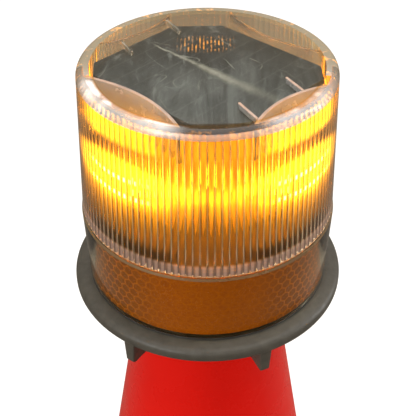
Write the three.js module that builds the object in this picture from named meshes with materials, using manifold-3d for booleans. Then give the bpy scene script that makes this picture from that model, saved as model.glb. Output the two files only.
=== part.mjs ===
// Traffic cone with a solar amber warning lamp on its tip.
// Millimetres, +Z up, origin at the middle of the base's underside, the lamp's front towards -Y.
import * as THREE from 'three';
import { mergeVertices } from 'three/addons/utils/BufferGeometryUtils.js';
import Module from 'manifold-3d';

const wasm = await Module();
wasm.setup();

// ---- driving dimensions -------------------------------------------------
const GAP = 0.3;                 // clearance between neighbouring pieces

const CONE_TOP = 700;            // height of the cone's tip
const CONE_TIP_R = 29.6;         // outer radius at the tip
const CONE_SLOPE = 0.166;        // radius gained per mm of drop
const CONE_WALL = 3.2;
const LIP_R = 155;               // foot ring moulded on the cone's lower end
const LIP_Z0 = 1.5;
const LIP_Z1 = 5.5;

const BASE_SIDE = 360;
const BASE_CORNER_R = 34;
const BASE_T = 22;
const BASE_COLLAR_R = 158;       // raised ring round the cone
const BASE_TOP = 29;

const SEAT = 19;                 // how far the cone's tip stands above the lamp's underside
const LAMP_Z = CONE_TOP - SEAT;  // underside of the lamp's flange

// lamp, in its own frame: z = 0 is the underside of the flange
const FLANGE_R = 66;
const FLANGE_T = 6.4;
const FLOOR_Z = 3.9;             // underside of the floor inside the skirt
const SKIRT_R = 63.2;
const SOCKET_ROOF = SEAT + GAP;
const FIN_COUNT = 6;
const FIN_R = 63.6;
const FIN_DROP = 15.5;
const FIN_W_TOP = 6.2;
const FIN_W_TIP = 4.2;
const FIN_AZ = -35;              // azimuth of the first fin, from -Y towards +X

const LENS_TOP = 115;
const LENS_R_TOP = 56.0;
const LENS_R_BOT = 59.0;
const LENS_FILLET = 3.5;
const LENS_PLATE = 2.6;
const LENS_FOOT = 7.7;
const COLLAR_TOP = 43.8;
const COLLAR_R_TOP = 59.5;
const COLLAR_R_BOT = 58.5;
const COLLAR_BORE = 55.9;
const FLUTES = 120;
const FLUTE_DEPTH = 0.9;
const LENS_WALL = 3.3;
const WALL_DROP = 13;            // height of the clear walls beside the panel
const WALL_TURN = 45;            // direction of the walls, about Z
const WALLS = [                  // direction, distance from the axis, half length, bow towards the panel
  [0, 41.9, 23.4, 6.1], [180, 41.9, 23.4, 6.1], [90, 37.2, 30.2, 6.9], [270, 37.2, 30.2, 6.9],
];
const WEB_X = [-12, 17];         // places of the webs along their walls
const WEB_REACH = 11;            // how far the webs run in over the panel
const WEB_SLANT = 0.27;          // sideways lean of the webs, per mm of their length

const PANEL_TURN = 47;           // the panel's short side runs this far round from X
const PANEL_U = 36;              // half width
const PANEL_V = 40.6;            // half length
const PANEL_T = 3;
const PANEL_TOP = 109.4;
const CLIP_X = 48.9;             // corner cuts left and right
const CLIP_Y = 42.4;             // corner cuts front and back

const DRUM_R = 53.9;
const DRUM_WALL = 2.4;
const DECK_Z = 45.3;
const DECK_T = 2;
const BOSS_R = 46;
const BOSS_AZ = [-5, 115, 235];
const ROUND = 64;                // facets round the large turned pieces

const COLUMN_HALF = 23;
const COLUMN_WALL = 2;
const COLUMN_FEET = [[16.8, 15], [-16.8, -15]];
const LED_ROWS = [70, 63.6];
const LED_R = 2.5;
const LED_TIP = 33.8;

const CELL_R = 7.1;
const CELL_L = 50;
const CELL_Y = 8.6;

// ---- materials ----------------------------------------------------------
const mat = (color, roughness, metalness = 0, extra = {}) =>
  new THREE.MeshStandardMaterial({ color, roughness, metalness, ...extra });
const RED = mat(0xe0190f, 0.35);
const BLACK_RUBBER = mat(0x1d1c1b, 0.85);
const GREY = mat(0x605f5a, 0.5);
const AMBER_TAPE = mat(0xb3640a, 0.3);
const CLEAR = mat(0xf1e2b8, 0.06, 0, { transparent: true, opacity: 0.4 });
const CELL_BLUE = mat(0x3b3d3f, 0.25);
const DARK = mat(0x33291f, 0.45);
const WHITE = mat(0xe9d9b0, 0.4);
const PCB = mat(0x1e5a34, 0.5);
const LED_AMBER = mat(0xffc21a, 0.1, 0, { emissive: 0xffa800 });
const STEEL = mat(0xb6b8ba, 0.3, 1);
const CELL_WRAP = mat(0x2f6fb0, 0.35);
const WIRE_RED = mat(0xb02018, 0.5);
const WIRE_BLACK = mat(0x151515, 0.5);

// ---- solid helpers ------------------------------------------------------
// closed BufferGeometry -> Manifold, facing out
function solid(geometry) {
  const g = geometry.clone();
  for (const name of Object.keys(g.attributes)) if (name !== 'position') g.deleteAttribute(name);
  const merged = mergeVertices(g, 1e-4);
  const vertProperties = Float32Array.from(merged.attributes.position.array);
  const index = merged.index.array;
  const tris = [];
  for (let i = 0; i < index.length; i += 3) {
    const [a, b, c] = [index[i], index[i + 1], index[i + 2]];
    if (a !== b && b !== c && c !== a) tris.push([a, b, c]);
  }
  let volume = 0;
  const p = (i) => new THREE.Vector3().fromArray(vertProperties, i * 3);
  for (const [a, b, c] of tris) volume += p(a).dot(p(b).cross(p(c)));
  if (volume < 0) for (const t of tris) t.reverse();
  return new wasm.Manifold(new wasm.Mesh({
    numProp: 3, vertProperties, triVerts: Uint32Array.from(tris.flat()),
  }));
}

// Manifold -> named mesh
function piece(name, body, material) {
  const m = body.getMesh();
  const g = new THREE.BufferGeometry();
  g.setAttribute('position', new THREE.BufferAttribute(Float32Array.from(m.vertProperties), 3));
  g.setIndex(new THREE.BufferAttribute(Uint32Array.from(m.triVerts), 1));
  g.computeVertexNormals();
  const mesh = new THREE.Mesh(g, material);
  mesh.name = name;
  return mesh;
}

const rad = THREE.MathUtils.degToRad;

// profile of [radius, z] pairs turned about Z
function turned(profile, segments) {
  const closed = profile[0][0] > 0 || profile[profile.length - 1][0] > 0;
  const pts = profile.map(([r, z]) => new THREE.Vector2(r, z));
  if (closed) pts.push(pts[0].clone());
  const g = new THREE.LatheGeometry(pts, segments);
  g.rotateX(Math.PI / 2);
  return solid(g);
}

function block(sx, sy, sz, x, y, z) {
  const g = new THREE.BoxGeometry(sx, sy, sz);
  g.translate(x, y, z + sz / 2);
  return solid(g);
}

function rod(r, h, x, y, z, segments = 24) {
  const g = new THREE.CylinderGeometry(r, r, h, segments);
  g.rotateX(Math.PI / 2);
  g.translate(x, y, z + h / 2);
  return solid(g);
}

// shape in XY, raised from z by h
function raised(shape, h, z, curveSegments = 8) {
  const g = new THREE.ExtrudeGeometry(shape, { depth: h, bevelEnabled: false, curveSegments });
  g.translate(0, 0, z);
  return solid(g);
}

function tube(points, r, steps = 9, radial = 6) {
  const ring = new THREE.Shape();
  for (let i = 0; i < radial; i++) {
    const a = (i / radial) * 2 * Math.PI;
    if (i) ring.lineTo(r * Math.cos(a), r * Math.sin(a));
    else ring.moveTo(r, 0);
  }
  const path = new THREE.CatmullRomCurve3(points.map((q) => new THREE.Vector3(...q)));
  return solid(new THREE.ExtrudeGeometry(ring, { extrudePath: path, steps, bevelEnabled: false }));
}

const spin = (body, degrees) => body.rotate([0, 0, degrees]);
// azimuth counted from -Y towards +X
const polar = (r, az) => [r * Math.sin(rad(az)), -r * Math.cos(rad(az))];

// ---- cone ---------------------------------------------------------------
const coneR = (z) => CONE_TIP_R + CONE_SLOPE * (CONE_TOP - z);

function coneBody() {
  return turned([
    [coneR(LIP_Z1), LIP_Z1],
    [LIP_R, LIP_Z1],
    [LIP_R, LIP_Z0],
    [coneR(LIP_Z0) - CONE_WALL, LIP_Z0],
    [coneR(CONE_TOP) - CONE_WALL, CONE_TOP],
    [CONE_TIP_R - 1.4, CONE_TOP],
    [coneR(CONE_TOP - 1.4), CONE_TOP - 1.4],
  ], 64);
}

function roundedSquare(side, r) {
  const h = side / 2;
  const s = new THREE.Shape();
  s.moveTo(-h + r, -h);
  s.lineTo(h - r, -h);
  s.absarc(h - r, -h + r, r, -Math.PI / 2, 0, false);
  s.lineTo(h, h - r);
  s.absarc(h - r, h - r, r, 0, Math.PI / 2, false);
  s.lineTo(-h + r, h);
  s.absarc(-h + r, h - r, r, Math.PI / 2, Math.PI, false);
  s.lineTo(-h, -h + r);
  s.absarc(-h + r, -h + r, r, Math.PI, 1.5 * Math.PI, false);
  return s;
}

function coneBase() {
  const slab = raised(roundedSquare(BASE_SIDE, BASE_CORNER_R), BASE_T - 4, 0)
    .add(raised(roundedSquare(BASE_SIDE - 10, BASE_CORNER_R - 5), 4.5, BASE_T - 4.5));
  const collar = turned([
    [0, BASE_T - 1], [BASE_COLLAR_R, BASE_T - 1], [BASE_COLLAR_R - 6, BASE_TOP], [0, BASE_TOP],
  ], 72);
  const clear = 0.4;
  const bore = turned([
    [0, -1], [LIP_R + 1, -1], [LIP_R + 1, LIP_Z1 + clear],
    [coneR(LIP_Z1) + clear, LIP_Z1 + clear],
    [coneR(BASE_TOP + 1) + clear, BASE_TOP + 1], [0, BASE_TOP + 1],
  ], 72);
  return slab.add(collar).subtract(bore);
}

// ---- lamp base: flange, skirt, socket and fins --------------------------
const lampConeR = (z) => coneR(z + LAMP_Z);

// upright plate along a radius, thinning towards its lower edge
function fin(az) {
  const top = FLOOR_Z + 0.6;
  const profile = [
    [lampConeR(0) + 0.9, top], [lampConeR(-FIN_DROP) + 0.7, -FIN_DROP],
    [FIN_R - 1.6, -FIN_DROP], [FIN_R, -FIN_DROP + 2.2], [FIN_R, top],
  ];
  const half = (z) => (FIN_W_TIP + ((FIN_W_TOP - FIN_W_TIP) * (z + FIN_DROP)) / FIN_DROP) / 2;
  const n = profile.length;
  const pos = [];
  for (const side of [-1, 1]) for (const [r, z] of profile) pos.push(side * half(z), -r, z);
  const idx = [];
  for (let i = 1; i < n - 1; i++) idx.push(0, i, i + 1, n, n + i + 1, n + i);
  for (let i = 0; i < n; i++) {
    const j = (i + 1) % n;
    idx.push(i, n + i, j, j, n + i, n + j);
  }
  const g = new THREE.BufferGeometry();
  g.setAttribute('position', new THREE.BufferAttribute(Float32Array.from(pos), 3));
  g.setIndex(idx);
  return spin(solid(g), az);
}

const SWITCH_XY = polar(44.5, 175);

function lampBase() {
  let body = turned([
    [0, SOCKET_ROOF], [lampConeR(SEAT) + 0.6, SOCKET_ROOF], [lampConeR(0) + 0.6, 0],
    [lampConeR(0) + 3.0, 0], [lampConeR(0) + 3.0, FLOOR_Z],
    [SKIRT_R, FLOOR_Z], [SKIRT_R, 0], [FLANGE_R - 0.7, 0], [FLANGE_R, 0.8],
    [FLANGE_R, 3.4], [FLANGE_R - 0.8, 5.0], [FLANGE_R - 2.8, 6.1], [FLANGE_R - 5.6, FLANGE_T],
    [lampConeR(FLANGE_T) + 3.0, FLANGE_T], [lampConeR(SEAT) + 3.0, SOCKET_ROOF + 2.5],
    [0, SOCKET_ROOF + 2.5],
  ], ROUND);
  for (let i = 0; i < FIN_COUNT; i++) body = body.add(fin(FIN_AZ + (i * 360) / FIN_COUNT));
  for (const az of BOSS_AZ) body = body.subtract(rod(1.9, 8, ...polar(BOSS_R, az), 0, 16));
  return body.subtract(rod(4.3, 8, ...SWITCH_XY, 0, 24));
}

// ---- reflective band, seal, inner drum ----------------------------------
const band = () => turned([
  [DRUM_R + GAP, 9.2], [DRUM_R + 1.0, 9.2], [DRUM_R + 1.0, COLLAR_TOP - 1], [DRUM_R + GAP, COLLAR_TOP - 1],
], ROUND);

const seal = () => turned([
  [54.5, FLANGE_T + GAP], [58.4, FLANGE_T + GAP], [58.4, LENS_FOOT - GAP], [54.5, LENS_FOOT - GAP],
], 48);

function drum() {
  const r = DRUM_R;
  let body = turned([
    [0, DECK_Z - DECK_T], [r - DRUM_WALL, DECK_Z - DECK_T], [r - DRUM_WALL, FLANGE_T + GAP],
    [r, FLANGE_T + GAP], [r, DECK_Z - 1], [r - 1, DECK_Z], [0, DECK_Z],
  ], ROUND);
  for (const az of BOSS_AZ) {
    const [x, y] = polar(BOSS_R, az);
    body = body.add(rod(4, DECK_Z - DECK_T + 1 - FLANGE_T - GAP, x, y, FLANGE_T + GAP, 20))
      .subtract(rod(1.8, 12, x, y, FLANGE_T + GAP - 0.5, 16));
  }
  for (const [x, y] of COLUMN_FEET) {
    body = body.subtract(spin(rod(1.4, 6, x, y, DECK_Z - 4, 12), PANEL_TURN));
  }
  return body.subtract(block(34, 12, 6, 0, 0, DECK_Z - 4));
}

// ---- lens ---------------------------------------------------------------
// fluted bore: a zigzag ring drawn between two heights
function flutedCore(rLow, rHigh, z0, z1) {
  const n = FLUTES * 2;
  const pos = [];
  for (const [r, z] of [[rLow, z0], [rHigh, z1]]) {
    for (let i = 0; i < n; i++) {
      const a = (i / n) * 2 * Math.PI;
      const q = r + (i % 2 ? FLUTE_DEPTH : 0);
      pos.push(q * Math.cos(a), q * Math.sin(a), z);
    }
  }
  pos.push(0, 0, z0, 0, 0, z1);
  const idx = [];
  for (let i = 0; i < n; i++) {
    const j = (i + 1) % n;
    idx.push(i, j, n + i, j, n + j, n + i, 2 * n, j, i, 2 * n + 1, n + i, n + j);
  }
  const g = new THREE.BufferGeometry();
  g.setAttribute('position', new THREE.BufferAttribute(Float32Array.from(pos), 3));
  g.setIndex(idx);
  return solid(g);
}

// thin clear wall hanging from the lens plate beside one edge of the panel
function hangingWall(distance, halfLength, sag) {
  const top = [];
  const bottom = [];
  const steps = 8;
  for (let i = 0; i <= steps; i++) {
    const t = -1 + (2 * i) / steps;
    const off = distance + sag * t * t;
    top.push([t * halfLength, off + 0.7]);
    bottom.push([t * halfLength, off - 0.7]);
  }
  const outline = [...bottom, ...top.reverse()];
  const s = new THREE.Shape(outline.map(([x, y]) => new THREE.Vector2(x, y)));
  return raised(s, WALL_DROP + 0.4, LENS_TOP - LENS_PLATE - WALL_DROP);
}

// web under the lens plate that steadies a hanging wall, from the wall in over the panel's edge
function web(x, from, to) {
  const s = new THREE.Shape([
    new THREE.Vector2(0, to), new THREE.Vector2(3, to + 4), new THREE.Vector2(3, from),
    new THREE.Vector2(0, from),
  ]);
  const g = new THREE.ExtrudeGeometry(s, { depth: 1.2, bevelEnabled: false });
  g.rotateY(Math.PI / 2);
  g.applyMatrix4(new THREE.Matrix4().makeShear(0, 0, WEB_SLANT, 0, 0, 0));
  g.translate(x - 0.6 - WEB_SLANT * from, 0, LENS_TOP - LENS_PLATE + 0.4);
  return solid(g);
}

function lens() {
  const top = LENS_TOP;
  const f = LENS_FILLET;
  const outer = turned([
    [0, LENS_FOOT], [COLLAR_R_BOT, LENS_FOOT], [COLLAR_R_TOP, COLLAR_TOP],
    [LENS_R_BOT, COLLAR_TOP + 0.7], [LENS_R_TOP, top - f],
    [LENS_R_TOP - f * (1 - Math.cos(rad(30))), top - f * (1 - Math.sin(rad(30)))],
    [LENS_R_TOP - f * (1 - Math.cos(rad(60))), top - f * (1 - Math.sin(rad(60)))],
    [LENS_R_TOP - f, top], [0, top],
  ], 72);
  const under = top - LENS_PLATE;
  let body = outer
    .subtract(rod(COLLAR_BORE, COLLAR_TOP - LENS_FOOT + 1, 0, 0, LENS_FOOT - 1, 72))
    .subtract(flutedCore(LENS_R_BOT - LENS_WALL, LENS_R_TOP - LENS_WALL, COLLAR_TOP - 0.2, under));
  for (const [turn, distance, half, sag] of WALLS) {
    body = body.add(spin(hangingWall(distance, half, sag), turn + WALL_TURN));
  }
  for (const [turn, distance, half, sag] of WALLS.slice(0, 2)) {
    for (const x of WEB_X) {
      const wall = distance + sag * (x / half) ** 2;
      body = body.add(spin(web(x, wall, distance - WEB_REACH), turn + WALL_TURN));
    }
  }
  return body;
}

// ---- solar panel and its carrier ----------------------------------------
// rectangle turned on the lens with its four corners cut off, grown by d
function panelShape(d) {
  const u = PANEL_U + d;
  const v = PANEL_V + d;
  const back = (CLIP_Y + d) * Math.SQRT2;
  const side = (CLIP_X + d) * Math.SQRT2;
  return new THREE.Shape([
    [u, back - u], [back - v, v], [v - side, v], [-u, side - u],
    [-u, u - back], [v - back, -v], [side - v, -v], [u, u - side],
  ].map(([x, y]) => new THREE.Vector2(x, y)));
}

const solarPanel = () => raised(panelShape(0), PANEL_T, PANEL_TOP - PANEL_T);

const CARRIER_T = 1.8;
const CARRIER_TOP = PANEL_TOP - PANEL_T - GAP;

const carrier = () => raised(panelShape(-0.4), CARRIER_T, CARRIER_TOP - CARRIER_T)
  .subtract(block(16, 8, 8, 0, 0, CARRIER_TOP - 5));

// pale frame under the carrier that throws the lights' glow outwards
const SKIRT_DROP = 12.5;

function reflector() {
  const top = CARRIER_TOP - CARRIER_T - GAP;
  return raised(panelShape(-3), SKIRT_DROP, top - SKIRT_DROP)
    .subtract(raised(panelShape(-5.2), SKIRT_DROP, top - SKIRT_DROP - 1.6))
    .subtract(block(16, 8, 8, 0, 0, top - 5));
}

// ---- light column -------------------------------------------------------
const COLUMN_Z0 = DECK_Z + GAP;
const COLUMN_Z1 = CARRIER_TOP - CARRIER_T - GAP - 1.6 - GAP;

function column() {
  const h = COLUMN_HALF;
  const w = h - COLUMN_WALL;
  let body = block(2 * h, 2 * h, COLUMN_Z1 - COLUMN_Z0, 0, 0, COLUMN_Z0)
    .subtract(block(2 * w, 2 * w, COLUMN_Z1 - COLUMN_Z0 + 2, 0, 0, COLUMN_Z0 - 1));
  for (const [x, y] of COLUMN_FEET) {
    body = body.add(rod(4, 6, x, y, COLUMN_Z0, 16))
      .add(block(6, 7, 6, x + Math.sign(x) * 2.2, y, COLUMN_Z0))
      .subtract(rod(1.3, 9, x, y, COLUMN_Z0 - 1, 12));
  }
  return body;
}

const ledBoard = () => block(26, 1.6, 22, 0, 0, 0);

function led() {
  const tip = LED_TIP - COLUMN_HALF - GAP - 1.6 - GAP;
  return turned([
    [0, 0], [2.9, 0], [2.9, 1], [LED_R, 1], [LED_R, tip - LED_R],
    [LED_R * 0.87, tip - LED_R * 0.5], [LED_R * 0.5, tip - LED_R * 0.13], [0, tip],
  ], 16);
}

function controlBoard() {
  return block(36, 24, 1.6, 0, 0, 0)
    .add(rod(5, 5, -9, 4, 1.4, 20))
    .add(block(8, 6, 2, 5, -4, 1.4))
    .add(rod(3, 8, 12, 5, 1.4, 16))
    .add(block(4, 3, 1.5, -3, -8, 1.4))
    .add(block(7, 6, 5, -12, -7, 1.4));
}

// ---- power --------------------------------------------------------------
const TRAY_Z = SOCKET_ROOF + 2.5 + GAP;

function tray() {
  const inner = CELL_L + 4.4;
  return block(inner + 3, 36, 9, 0, 0, TRAY_Z).subtract(block(inner, 33, 9, 0, 0, TRAY_Z + 1.6));
}

const cell = () => {
  const g = new THREE.LatheGeometry([
    [0, -CELL_L / 2], [CELL_R - 0.6, -CELL_L / 2], [CELL_R, -CELL_L / 2 + 0.6],
    [CELL_R, CELL_L / 2 - 1.8], [CELL_R - 0.8, CELL_L / 2 - 1], [2.7, CELL_L / 2 - 1],
    [2.7, CELL_L / 2], [0, CELL_L / 2],
  ].map(([r, z]) => new THREE.Vector2(r, z)), 20);
  g.rotateZ(-Math.PI / 2);
  return solid(g);
};

const contact = () => block(0.6, 26, 10, 0, 0, 0).add(block(0.6, 6, 3, 0, 0, 9.8));

// ---- switch -------------------------------------------------------------
const switchBody = () => block(11, 11, 11, 0, 0, FLANGE_T + GAP)
  .add(rod(4, 5, 0, 0, 2.2, 24))
  .subtract(rod(3.1, 9.4, 0, 0, 2, 20));

const switchNut = () => turned([
  [5.0, 0], [6.8, 0], [6.8, 1.1], [5.0, 1.1],
], 6);

const switchButton = () => turned([
  [0, 0], [2.0, 0], [2.7, 0.7], [2.7, 7.5], [0, 7.5],
], 20);

// ---- screws -------------------------------------------------------------
const screw = (headR, headH, r, length) => turned([
  [0, -headH], [headR - 0.6, -headH], [headR, -headH + 0.7], [headR, 0],
  [r, 0], [r, length - 1], [r * 0.4, length], [0, length],
], 10).subtract(block(headR * 1.3, 0.7, 1, 0, 0, -headH - 0.2))
  .subtract(block(0.7, headR * 1.3, 1, 0, 0, -headH - 0.2));

// ---- assembly -----------------------------------------------------------
const assembly = new THREE.Group();
assembly.add(piece('cone_base', coneBase(), BLACK_RUBBER));
assembly.add(piece('cone_body', coneBody(), RED));

const lamp = new THREE.Group();
lamp.position.z = LAMP_Z;
assembly.add(lamp);
lamp.add(piece('lamp_base', lampBase(), GREY));
lamp.add(piece('seal_ring', seal(), BLACK_RUBBER));
lamp.add(piece('inner_drum', drum(), DARK));
lamp.add(piece('reflective_band', band(), AMBER_TAPE));
lamp.add(piece('lens', lens(), CLEAR));

// everything squared up with the panel shares one turned group
const head = new THREE.Group();
head.rotation.z = rad(PANEL_TURN);
lamp.add(head);
head.add(piece('solar_panel', solarPanel(), CELL_BLUE));
head.add(piece('panel_carrier', carrier(), DARK));
head.add(piece('reflector_skirt', reflector(), WHITE));
head.add(piece('light_column', column(), WHITE));

for (let i = 0; i < 4; i++) {
  const face = new THREE.Group();
  face.rotation.z = (i * Math.PI) / 2;
  head.add(face);
  const board = piece(`led_board_${i + 1}`, ledBoard(), PCB);
  board.position.set(0, -(COLUMN_HALF + GAP + 0.8), 56);
  face.add(board);
  LED_ROWS.forEach((z, row) => {
    const bulb = piece(`led_${row ? 'lower' : 'upper'}_${i + 1}`, led(), LED_AMBER);
    bulb.position.set(0, -(COLUMN_HALF + GAP + 1.6 + GAP), z);
    bulb.rotation.x = Math.PI / 2;
    face.add(bulb);
  });
}

const control = piece('control_board', controlBoard(), PCB);
control.position.z = COLUMN_Z0 + 6.4;
head.add(control);

const panelUnder = CARRIER_TOP;
const boardZ = COLUMN_Z0 + 6.4 + 1.6 + GAP;
head.add(piece('panel_lead_red', tube([
  [4, 1.5, panelUnder], [4.5, 1.5, 92], [1.5, 1, 72], [2, 3, boardZ],
], 0.7), WIRE_RED));
head.add(piece('panel_lead_black', tube([
  [-4, 1.5, panelUnder], [-4.5, 1.5, 92], [-1, 2, 72], [-1.6, 3.4, boardZ],
], 0.7), WIRE_BLACK));

COLUMN_FEET.forEach(([x, y], i) => {
  const s = piece(`column_screw_${i + 1}`, screw(2.6, 1.6, 1, 6), STEEL);
  s.position.set(x, y, DECK_Z - DECK_T - GAP);
  head.add(s);
});

BOSS_AZ.forEach((az, i) => {
  const s = piece(`base_screw_${i + 1}`, screw(3.2, 2, 1.5, 13), STEEL);
  const [x, y] = polar(BOSS_R, az);
  s.position.set(x, y, FLOOR_Z - GAP);
  lamp.add(s);
});

lamp.add(piece('battery_tray', tray(), DARK));
[-1, 1].forEach((side, i) => {
  const c = piece(`battery_cell_${i + 1}`, cell(), CELL_WRAP);
  c.position.set(0, side * CELL_Y, TRAY_Z + 1.6 + GAP + CELL_R);
  c.rotation.z = i * Math.PI;
  lamp.add(c);
  const k = piece(`battery_contact_${i + 1}`, contact(), STEEL);
  k.position.set(side * (CELL_L / 2 + 1.2), 0, TRAY_Z + 1.6 + GAP);
  lamp.add(k);
});
const contactTop = TRAY_Z + 1.6 + GAP + 12.8 + GAP;
lamp.add(piece('battery_lead_red', tube([
  [CELL_L / 2 + 1.2, 0, contactTop], [22, 0, contactTop + 3.0],
  [10, 0, DECK_Z - 1], [7, 0, COLUMN_Z0 + 6.4 - GAP],
], 0.7), WIRE_RED));
lamp.add(piece('battery_lead_black', tube([
  [-CELL_L / 2 - 1.2, 0, contactTop], [-22, 0, contactTop + 3.0],
  [-10, 0, DECK_Z - 1], [-7, 0, COLUMN_Z0 + 6.4 - GAP],
], 0.7), WIRE_BLACK));

const sw = new THREE.Group();
sw.position.set(SWITCH_XY[0], SWITCH_XY[1], 0);
lamp.add(sw);
sw.add(piece('switch_body', switchBody(), DARK));
const nut = piece('switch_nut', switchNut(), STEEL);
nut.position.z = FLOOR_Z - GAP - 1.1;
sw.add(nut);
const button = piece('switch_button', switchButton(), BLACK_RUBBER);
button.position.z = 0.2;
sw.add(button);

export default assembly;
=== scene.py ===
"""Looks for a traffic cone with a solar warning lamp on its tip. Metres, +Z up, lamp's front to -Y."""
import math

import bmesh
import bpy
from mathutils import Matrix, Vector


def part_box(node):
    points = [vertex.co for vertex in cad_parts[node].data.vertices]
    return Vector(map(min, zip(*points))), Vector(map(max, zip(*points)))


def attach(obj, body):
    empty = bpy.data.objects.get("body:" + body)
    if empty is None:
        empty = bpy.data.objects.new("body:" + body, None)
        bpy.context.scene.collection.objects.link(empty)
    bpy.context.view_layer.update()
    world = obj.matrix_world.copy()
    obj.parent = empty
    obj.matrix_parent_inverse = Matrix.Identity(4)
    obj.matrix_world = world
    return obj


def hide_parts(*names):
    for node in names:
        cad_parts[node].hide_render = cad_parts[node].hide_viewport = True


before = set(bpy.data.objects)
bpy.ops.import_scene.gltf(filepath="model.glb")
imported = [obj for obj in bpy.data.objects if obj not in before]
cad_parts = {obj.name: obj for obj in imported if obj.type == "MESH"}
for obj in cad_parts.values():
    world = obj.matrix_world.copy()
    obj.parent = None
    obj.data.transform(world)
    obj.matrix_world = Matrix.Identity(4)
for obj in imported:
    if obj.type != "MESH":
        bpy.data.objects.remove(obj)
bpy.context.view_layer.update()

MM = 0.001
CONE = "cone"
LAMP = "lamp"

# ---- levels taken from the frame ----------------------------------------
LENS_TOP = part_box("lens")[1][2]
LENS_TALL = 115                         # lens top above the underside of the lamp's flange, mm
LAMP_Z = LENS_TOP - LENS_TALL * MM      # underside of the lamp's flange
CONE_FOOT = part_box("cone_body")[0][2]
CONE_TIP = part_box("cone_body")[1][2]
BASE_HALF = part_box("cone_base")[1][0]
BASE_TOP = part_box("cone_base")[1][2]
PANEL_LOW, PANEL_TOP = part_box("solar_panel")[0][2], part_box("solar_panel")[1][2]
BAND_LOW, BAND_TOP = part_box("reflective_band")[0][2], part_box("reflective_band")[1][2]
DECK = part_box("inner_drum")[1][2]

# ---- driving values: lens sizes in mm, heights above the flange's underside --
PANEL_TURN = math.radians(47)
WALL_TURN = math.radians(45)
LIGHT_AZ = math.radians(-43)            # azimuth of one face of the column
CONE_TIP_R = 29.6 * MM
CONE_SLOPE = 0.166                      # radius gained for each unit of height lost
ROUND = 256                             # points round the large turned pieces
LIP = 4 * MM                            # thickness of the cone's foot ring
FLUTES = 120                            # rounded ribs inside the lens
FLUTE_STEPS = 8
FLUTE_DEPTH = 0.6
RIB_TOP = 112.4                         # underside of the lens plate
RIB_TOP_R = 52.7                        # crest of a rib under the plate
HEAD_R = 48.5                           # under the plate, the ribs' light starts here
COLLAR_Z = 43.8                         # top of the plain collar
COLLAR_BORE = 56.8
STEP_TOP = 44.4                         # top of the small step above the collar
SIDE_R = 59.0                           # radius of the lens's side at the step
LEAN = 3.0                              # how far the side leans in on its way up
FILLET = 3.5                            # radius of the rounded rim
RING_R = 50.2                           # the frosted ring of the flat top starts here
WALL_DROP = 13.0
WALL_GAP = 0.05                         # between the plate and the walls and webs under it
WEB_SLANT = 0.27
HOT_ROWS = (85.0, 77.0)                 # the two rows of bright spots

# ---- shared colours -------------------------------------------------------
SIDE_TINT = (0.93, 0.66, 0.26)
SIDE_SHEEN = (0.92, 0.52, 0.20, 1)      # tint of the lens side's reflections
AMBER = (1.0, 0.37, 0.006)
RIB_AMBER = (1.0, 0.37, 0.01)


def up(z_mm):
    """Height in the frame of a level given in mm above the flange's underside."""
    return LAMP_Z + z_mm * MM


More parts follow.
